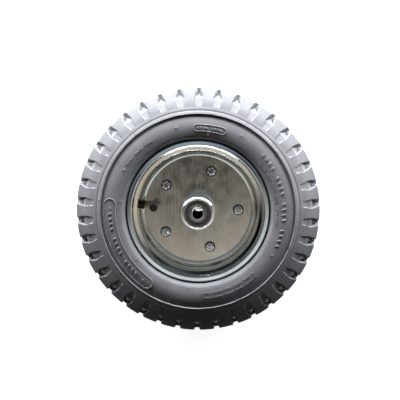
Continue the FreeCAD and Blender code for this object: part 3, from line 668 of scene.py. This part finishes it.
def seal_section():
    """A flat ring with a raised rim, a raised lip and one moulded rib between them."""
    high = half_bearing - 0.1
    dish = high - 0.35
    rib = dish + 0.16
    return rounded([
        (10.7, seal_seat, 0.1), (16.3, seal_seat, 0.1), (16.3, high, 0.15), (15.6, high, 0.15),
        (15.3, dish, 0.12), (13.5, dish, 0.1), (13.35, rib, 0.06), (13.05, rib, 0.06), (12.9, dish, 0.1),
        (11.7, dish, 0.12), (11.4, high, 0.15), (10.7, high, 0.15)], closed=True, steps=4)


def mottled(name, cloud, stops, patch, rough, grain, depth, detail=3.0, inputs=None):
    """A material whose colour passes through the stops over clouds, whose roughness wanders between two
    values over patches, and that has a fine grain. Sizes and the grain's depth are in millimetres."""
    material = blank(name)
    looks = {"Base Color": tinted(material, cloud, stops), "Roughness": wandering(material, patch, *rough)}
    shade(material, {**looks, **(inputs or {})}, clouds(material, grain, detail), depth)
    return material


# Ground bearing steel: bare and bright, with rings so fine that they only streak its highlight.
race_steel = blank("ground_bearing_steel")
ground = tinted(race_steel, 6, ((0.3, "#d3d4d6"), (0.7, "#dddee0")))
shade(race_steel, {"Base Color": ground, "Metallic": 1.0, "Roughness": wandering(race_steel, 3, 0.08, 0.14)},
      turning_lines(race_steel, 0.25), 0.002, 0.3)

# Nitrile rubber of a seal: dark brown-grey and matt, slightly dusty with grease.
nitrile = mottled("moulded_nitrile_seal", cloud=4, stops=((0.3, "#3d3935"), (0.7, "#4a4540")),
                  patch=2, rough=(0.42, 0.6), grain=0.3, depth=0.02, detail=2.0)

# Pressed and tumbled cage steel, with an oily grey cast.
cage_steel = mottled("pressed_cage_steel", cloud=3, stops=((0.3, "#8d8f90"), (0.7, "#a2a3a3")),
                     patch=1.5, rough=(0.3, 0.45), grain=0.4, depth=0.01, inputs={"Metallic": 1.0})

for side, middle in (("front", hub_high - 0.6 - half_bearing), ("rear", hub_low + 0.6 + half_bearing)):
    place = np.array([0, 0, middle])
    seal = turned(seal_section(), 160)
    for name, grid, material, slot, body in (
            ("outer_race", turned(outer_race_section(), 160), race_steel, "bearing_steel", WHEEL),
            ("inner_race", turned(inner_race_section(), 120), race_steel, "bearing_steel", CORE),
            ("upper_seal", seal, nitrile, "seal_rubber", WHEEL),
            ("lower_seal", seal * (1, 1, -1), nitrile, "seal_rubber", WHEEL)):
        piece(f"{side}_{name}", [grid + place], material, body, [f"{side}_bearing_{name}"])
    dress(f"{side}_bearing_balls", race_steel)
    dress(f"{side}_bearing_cage", cage_steel)

# Rim bolts, washers and nuts
# Five M6 hexagon bolts clamp the two discs. Their heads are at the rear, and each has a plain washer
# and a nut on the front, where the end of the thread stands just clear of the nut. Bolts and nuts are
# zinc plated.

bolt_angles = np.radians(-1.0 + 72 * np.arange(5))
bolt_circle, bolt_radius, across_flats = 52.0, 3.0, 10.0
washer_high, nut_high = sheet + 1.2, sheet + 6.2
bolt_tip = mm_box("rim_bolts")[1][2]
head_low = mm_box("rim_bolts")[0][2]


def spin(grid, turn):
    """The grid turned about the wheel's axis by an angle in radians."""
    x, y, z = grid[..., 0], grid[..., 1], grid[..., 2]
    return np.stack([x * math.cos(turn) - y * math.sin(turn), x * math.sin(turn) + y * math.cos(turn), z], -1)


def on_bolt_circle(grid):
    return [spin(grid + (bolt_circle, 0, 0), turn) for turn in bolt_angles]


def hexagonal(bore, low, high, chamfer_at):
    """A hexagon whose corners are turned off. Across a flat's middle its radius is half the width, and
    elsewhere that over the cosine of the angle from there; the turned-off cone falls at 30 degrees."""
    in_one_side = np.array([-1.2, 1.2, 8, 16, 23, 30, 37, 44, 52])
    turn = np.radians((60 * np.arange(6)[:, None] + in_one_side).ravel())
    side = across_flats / 2 / np.cos(turn % (math.pi / 3) - math.pi / 6)
    flat = across_flats / 2 - 0.15
    drop = (side - flat) * math.tan(math.radians(30))
    level = 0 * turn
    inner = bore + level
    rows = [(inner, low + level)] if bore else [(level, low + level)]
    rows += [(side - 0.15, low + level), (side, low + 0.15 + level), (side, high - drop - 0.1),
             (side - 0.12, high - drop + 0.02), (flat + level, high + level)]
    rows += [(inner + 0.45, high + level), (inner, high - 0.45 + level)] if bore else [(level, high + level)]
    radius, height = (np.array([row[k] for row in rows]) for k in range(2))
    if chamfer_at == "low":
        height = low + high - height
    return np.stack([radius * np.cos(turn), radius * np.sin(turn), height], -1)


def threaded_tip(radius, low, high, pitch):
    """A rod with a thread and a chamfered end: its surface moves in and out along a helix, once for each
    pitch of height or turn of angle, and fades out at the chamfer."""
    chamfer, threaded = 0.6, 4.0
    turn = np.linspace(0, 2 * math.pi, 40, endpoint=False)
    height = np.linspace(high - threaded, high - chamfer, 40)[:, None]
    wave = 0.5 - 0.5 * np.cos(2 * math.pi * height / pitch - turn)
    thread = np.clip((height - high + threaded) / 0.5, 0, 1) * np.clip((high - chamfer - height) / 0.3, 0, 1)
    level = 0 * turn
    radii = [level, radius + level, *(radius - 0.3 * wave * thread), radius - chamfer + level, level]
    heights = [low, low, *height[:, 0], high, high]
    radii, heights = np.array(radii), np.array(heights)[:, None]
    return np.stack([radii * np.cos(turn), radii * np.sin(turn), heights + level], -1)


# Zinc on small fasteners is cooler and glossier than on the sheet, with soft edges from the barrel.
# The washers under the nuts are darker, so that a dark ring shows round each nut.
bolt_zinc = plated_steel("zinc_plated_fastener", 12, zinc_on_steel, 0.12, 0.4, 0.006)
dark_washer_stops = ((0.35, "#4a4d4f"), (0.65, "#626567"))
washer_steel = plated_steel("dark_steel_washer", 5, dark_washer_stops, 0.2, 0.4, 0.006)
bolts = on_bolt_circle(threaded_tip(bolt_radius, -sheet - 1, bolt_tip, 1.0))
bolts += on_bolt_circle(hexagonal(0, head_low, -sheet, "low"))
piece("bolts", bolts, bolt_zinc, WHEEL, ["rim_bolts"], loop=False)
washer = rounded([
    (3.3, sheet, 0.1), (7.0, sheet, 0.15), (7.0, washer_high, 0.3), (3.3, washer_high, 0.2)], closed=True)
piece("washers", on_bolt_circle(turned(washer, 72)), washer_steel, WHEEL, ["rim_washers"])
nuts = on_bolt_circle(hexagonal(bolt_radius + 0.05, washer_high, nut_high, "high"))
piece("nuts", nuts, bolt_zinc, WHEEL, ["rim_nuts"])

# Valve
# A brass tube bonded into the inner tube comes in through the barrel, is clamped there by a washer
# and a nut, and bends up so that a pump reaches it. The core and its pin sit in its end.

valve_turn = math.radians(175)
valve_offset = disc_radius - 18.5
valve_height = 8.6
valve_top = mm_box("valve_stem")[1][2]
stem_radius, stem_bore = 3.8, 1.9
stem_pitch, stem_thread_depth = 0.8, 0.22
valve_nut_height, washer_height = 3.5, 2.4
bend_radius = 6.0
stem_start = valve_offset + 25.5


def stem_line(count_run, count_bend, count_rise):
    """The stem's centre line and the directions along it, in the plane of the valve: in towards the
    axle, round the bend, and up."""
    run = np.linspace(stem_start, valve_offset + bend_radius, count_run)[:-1]
    turn = np.linspace(0, math.pi / 2, count_bend)
    rise = np.linspace(valve_height + bend_radius, valve_top, count_rise)[1:]
    radius = np.concatenate([run, valve_offset + bend_radius * (1 - np.sin(turn)), valve_offset + 0 * rise])
    height = np.concatenate([valve_height + 0 * run, valve_height + bend_radius * (1 - np.cos(turn)), rise])
    way = np.concatenate([0 * run, turn, math.pi / 2 + 0 * rise])
    return radius[:, None], height[:, None], way[:, None]


def swept(radius, height, way, girth):
    """Circles of the given girths square to the centre line."""
    turn = np.linspace(0, 2 * math.pi, 36, endpoint=False)
    out, over = girth * np.cos(turn), girth * np.sin(turn)
    return np.stack([radius + out * np.sin(way), over, height + out * np.cos(way)], -1)


def stem_places():
    """The outside with its thread, then back along the bore."""
    radius, height, way = stem_line(150, 16, 130)
    inwards, upwards = (np.diff(run, axis=0, prepend=run[:1]) for run in (radius, height))
    length = np.cumsum(np.hypot(inwards, upwards))
    turn = np.linspace(0, 2 * math.pi, 36, endpoint=False)
    straight = np.clip(1 - 20 * np.minimum(way, math.pi / 2 - way), 0, 1)
    wave = 0.5 - 0.5 * np.cos(2 * math.pi * length[:, None] / stem_pitch - turn)
    girth = stem_radius - stem_thread_depth * wave * straight
    girth[-3:] -= np.array([0.0, 0.25, 0.5])[:, None]
    outside = swept(radius, height, way, girth)
    bore_line = [run[::-1] for run in stem_line(6, 8, 4)]
    return np.concatenate([outside, swept(*bore_line, stem_bore + 0 * bore_line[0])])


def barrel_surface(height):
    """Radius of the front dish at a height: the corner's arc, then the flared barrel."""
    dish = rim_path()
    wall = dish[(dish[:, 0] > 69.7) & (dish[:, 1] < 20)]
    return np.interp(height, wall[:, 1], wall[:, 0])


def nut_across_the_valve():
    """The hexagon laid on its side, so that its axis points at the wheel's axis."""
    upright = hexagonal(stem_radius + 0.05, 0, valve_nut_height, "high")
    seat = barrel_surface(valve_height) - washer_height
    return np.stack([seat - upright[..., 2], upright[..., 0], valve_height + upright[..., 1]], -1)


def valve_washer_places():
    """A thick washer whose outer face follows the hollow of the barrel: at each point of its rim the
    face lies where a circle of the barrel's radius at that height crosses."""
    turn = np.linspace(0, 2 * math.pi, 60, endpoint=False)
    radii = np.array([4.0, 5.2, 5.25, 5.25, 4.0])[:, None]
    over, height = radii * np.cos(turn), valve_height + radii * np.sin(turn)
    near = barrel_surface(valve_height) - washer_height + np.array([0, 0, 0.05, 0, 0])[:, None]
    far = np.sqrt(barrel_surface(height) ** 2 - over ** 2)
    radius = np.where(np.arange(5)[:, None] > 2, far, near)
    return np.stack([radius, over, height], -1)


# Plated valve brass for the nut and washer: dull and nearly black, with a few lighter patches.
brass = mottled("near_black_valve_brass", cloud=3.5,
                stops=((0.35, "#1e1d1b"), (0.6, "#302d29"), (0.75, "#524b40")),
                patch=1.5, rough=(0.28, 0.45), grain=0.4, depth=0.01, inputs={"Metallic": 1.0})

# The stem itself keeps its thin nickel plating, satin and warm, and mirrors the disc under it.
nickel = mottled("nickel_plated_valve_brass", cloud=3.5, stops=((0.35, "#8d867b"), (0.7, "#a59e92")),
                 patch=1.5, rough=(0.28, 0.4), grain=0.4, depth=0.008, inputs={"Metallic": 1.0})

piece("stem", [spin(stem_places(), valve_turn)], nickel, WHEEL, ["valve_stem"])
piece("stem_nut", [spin(nut_across_the_valve(), valve_turn)], brass, WHEEL, ["valve_nut"])
piece("stem_washer", [spin(valve_washer_places(), valve_turn)], brass, WHEEL, ["valve_washer"])
dress("valve_core", brass)
dress("valve_pin", brass)

# Valve cap
# Black polypropylene, moulded with twelve grip ribs and a slightly domed top, and pushed or screwed
# over the stem.

cap_low, cap_high = mm_box("valve_cap")[0][2], mm_box("valve_cap")[1][2]
cap_radius, rib_circle, rib_radius, cap_bore = 5.1, 4.95, 0.45, 3.88


def cap_places():
    """Up the outside, over the edge and the dome to the middle, and a bore from below. Along the grip
    the outside is the larger of the cap's radius and the ribs' circles."""
    turn = np.linspace(0, 2 * math.pi, 192, endpoint=False)
    off = (turn + math.pi / 12) % (math.pi / 6) - math.pi / 12
    inside = np.clip(rib_radius ** 2 - (rib_circle * np.sin(off)) ** 2, 0, None)
    ribbed = np.maximum(cap_radius, rib_circle * np.cos(off) + np.sqrt(inside))
    outline = rounded([(cap_radius, cap_high - 3, 0), (cap_radius, cap_high, 0.9), (0, cap_high, 0)], steps=8)
    edge = outline[3:-2]
    top = np.concatenate([edge, [(share * cap_radius, cap_high) for share in (0.6, 0.4, 0.2, 0)]])
    top[:, 1] -= 0.25 * (top[:, 0] / cap_radius) ** 4
    bore = [(0, cap_high - 1.4), (cap_bore - 0.3, cap_high - 1.4), (cap_bore, cap_high - 1.7),
            (cap_bore, cap_low + 0.4), (cap_bore + 0.3, cap_low)]
    skirt = [(cap_radius - 0.3, cap_low), (cap_radius, cap_low + 0.25)]
    grip = [(cap_radius, height) for height in np.linspace(cap_low + 0.5, cap_high - 2.2, 12)]
    rows = np.concatenate([bore, skirt, grip, top])
    ribs = np.zeros((len(rows), 1))
    ribs[8:18] = 1
    ribs[[7, 18]] = 0.4
    radius = rows[:, :1] + ribs * (ribbed - cap_radius)
    return np.stack([radius * np.cos(turn), radius * np.sin(turn), rows[:, 1:] + 0 * turn], -1)


# Black moulded polypropylene: satin, with a faint sparkle of spark erosion.
plastic = mottled("black_moulded_plastic", cloud=5, stops=((0.3, "#0b0b0c"), (0.7, "#111112")),
                  patch=2, rough=(0.32, 0.45), grain=0.25, depth=0.015, detail=2.0,
                  inputs={"Specular IOR Level": 0.3})
cap = spin(cap_places() + (valve_offset, 0, 0), valve_turn)
piece("cap", [cap], plastic, "valve_cap", ["valve_cap"], loop=False)

# Inner tube
# A closed ring of butyl rubber, out of sight between tyre and rim: black, soft and faintly dusted
# with talc.

butyl = mottled("talc_dusted_butyl", cloud=12, stops=((0.4, "#1f1f20"), (0.75, "#3b3b3b")),
                patch=5, rough=(0.55, 0.75), grain=1.0, depth=0.05)
dress("inner_tube", butyl)

# Floor, lights and camera
# A plain white sheet under the wheel. One wide soft light and two narrower ones stand low beyond the
# top of the picture. What the metal mirrors is a room in bands of light and dark, with a dim spot
# overhead that the flat faces near the hub mirror.

bpy.ops.mesh.primitive_plane_add(size=6.0, location=(0, 0, cad_low.z))
floor = bpy.context.object
floor.name = "floor"

# White paper, matt. It glows for the rays that see it, so that it is an even white in the picture, but
# not for those that light the wheel. The glow fades out under the tyre as a painted shadow, and comes
# back below the bore as a painted highlight seen through it.
paper = blank("white_paper")
matt = add(paper, "ShaderNodeBsdfPrincipled", {
    "Base Color": linear("#d8d8d8"), "Roughness": 1.0, "Specular IOR Level": 0.0})
paper_rays = add(paper, "ShaderNodeLightPath").outputs
seen = paper_rays["Is Camera Ray"]
for ray in ("Is Glossy Ray", "Is Transmission Ray"):
    seen = add(paper, "ShaderNodeMath", {0: seen, 1: paper_rays[ray]}, operation="MAXIMUM")
glow = 0.93
# Painted shadow: the glow fades under the tyre. Painted highlight: it returns below the bore, where it shows
# through.
glow_with_painted_shadow = add(paper, "ShaderNodeMath", {
    0: outwards(paper, 110, 165, 0.0, glow), 1: outwards(paper, 20, 40, glow, 0.0)}, operation="MAXIMUM")
glow_seen = add(paper, "ShaderNodeMath", {0: seen, 1: glow_with_painted_shadow}, operation="MULTIPLY")
glowing = add(paper, "ShaderNodeEmission", {"Strength": glow_seen})
both = add(paper, "ShaderNodeAddShader", {0: matt, 1: glowing})
add(paper, "ShaderNodeOutputMaterial", {"Surface": both})
floor.data.materials.append(paper)

# The room that the metal mirrors: a belt of wall round the horizon and a dome above it.
world = bpy.data.worlds.new("studio")
bpy.context.scene.world = world
world.use_nodes = True
world.node_tree.nodes.clear()
world_rays = add(world, "ShaderNodeLightPath").outputs
direction = add(world, "ShaderNodeTexCoord").outputs["Generated"]
sides = add(world, "ShaderNodeSeparateXYZ", {"Vector": direction}).outputs
downwards = add(world, "ShaderNodeMath", {0: sides["Y"], 1: -0.5, 2: 0.5}, operation="MULTIPLY_ADD")


def banded(slant, stops):
    """Colours that pass through the stops from the picture's top to its bottom, leaning with X."""
    across = add(world, "ShaderNodeMath", {0: sides["X"], 1: slant, 2: downwards}, operation="MULTIPLY_ADD")
    return add(world, "ShaderNodeValToRGB", {"Fac": across}, stops)


belt = banded(0.22, (
    (0.32, "#0b0b0c"), (0.42, "#5a5049"), (0.6, "#c9bdae"), (0.75, "#d8c4ac"), (0.95, "#dcc4a8")))
dome = banded(0.1, (
    (0.12, "#0c0d0f"), (0.18, "#b4c1c9"), (0.25, "#a0aeb6"), (0.29, "#465057"), (0.35, "#465057"),
    (0.4, "#b6c4cb"), (0.44, "#a3afb6"), (0.48, "#404446"), (0.5, "#454544"), (0.53, "#7b7873"),
    (0.56, "#a19c95"), (0.6, "#cfcac2"), (0.66, "#fbfaf8"), (0.74, "#fbfaf8"), (0.79, "#a09c95"),
    (1.0, "#a09c95")))
above_hub = (-0.014, -0.088, 0.996)
apart = add(world, "ShaderNodeVectorMath", {0: direction, 1: above_hub}, operation="DISTANCE")
dim = add(world, "ShaderNodeMapRange", {
    "Value": apart, "From Min": 0.04, "From Max": 0.12, "To Min": 1.0, "To Max": 0.0})
dimmed = add(world, "ShaderNodeMix", {"Factor": dim, 6: dome, 7: linear("#101112")}, data_type="RGBA")
mirrored = linear("#dfe6ea")
for foot, top, layer in ((0.05, 0.2, belt), (0.64, 0.74, dimmed)):
    share = add(world, "ShaderNodeMapRange", {"Value": sides["Z"], "From Min": foot, "From Max": top})
    mirrored = add(world, "ShaderNodeMix", {"Factor": share, 6: mirrored, 7: layer}, data_type="RGBA")
room = add(world, "ShaderNodeBackground", {"Color": mirrored})
dark = add(world, "ShaderNodeBackground", {"Color": (1, 1, 1, 1), "Strength": 0.012})
white = add(world, "ShaderNodeBackground", {"Color": (1, 1, 1, 1)})
plain = add(world, "ShaderNodeMath", {
    0: world_rays["Is Camera Ray"], 1: world_rays["Is Transmission Ray"]}, operation="MAXIMUM")
lit = add(world, "ShaderNodeMixShader", {0: world_rays["Is Glossy Ray"], 1: dark, 2: room})
backdrop = add(world, "ShaderNodeMixShader", {0: plain, 1: lit, 2: white})
add(world, "ShaderNodeOutputWorld", {"Surface": backdrop})


def facing(place, target, upward):
    """A pose at a place, in metres, that looks at the target, with the upward direction near its own Y."""
    place, target = np.array(place, float), np.array(target, float)
    back = unit(place - target)
    right = unit(np.cross(upward, back))
    pose = np.eye(4)
    pose[:3, :3] = np.stack([right, np.cross(back, right), back], -1)
    pose[:3, 3] = place
    return Matrix(pose)


light_level, light_height = 0.15, 0.32
lit_place = (0, 0, 0.08)


def soft_light(name, x, y, width, power):
    """A rectangular light that faces the wheel, in metres and watts."""
    data = bpy.data.lights.new(name, "AREA")
    data.shape = "RECTANGLE"
    data.size, data.size_y = width, light_height
    data.energy = power
    lamp = bpy.data.objects.new(name, data)
    bpy.context.scene.collection.objects.link(lamp)
    lamp.matrix_world = facing((x, y, light_level), lit_place, (0, 0, 1))


soft_light("window", 0, 1.3, 1.3, 93)
soft_light("left_window", -0.95, 0.95, 0.8, 45)
soft_light("right_window", 0.95, 0.95, 0.8, 45)

camera_distance = 0.9
lean_up, lean_right = math.radians(7), math.radians(0.8)
aim = (0.00218, 0.01141, 0)
focal_pixels, frame_pixels, sensor_mm = 688, 400, 36
eye = camera_distance * np.array([math.sin(lean_right), math.sin(lean_up), 0])
eye[2] = math.sqrt(camera_distance ** 2 - eye @ eye)
camera_data = bpy.data.cameras.new("camera")
camera_data.sensor_width = sensor_mm
camera_data.lens = focal_pixels / frame_pixels * sensor_mm
camera = bpy.data.objects.new("camera", camera_data)
bpy.context.scene.collection.objects.link(camera)
camera.matrix_world = facing(eye, aim, (0, 1, 0))
bpy.context.scene.camera = camera
bpy.context.scene.view_settings.view_transform = "Standard"
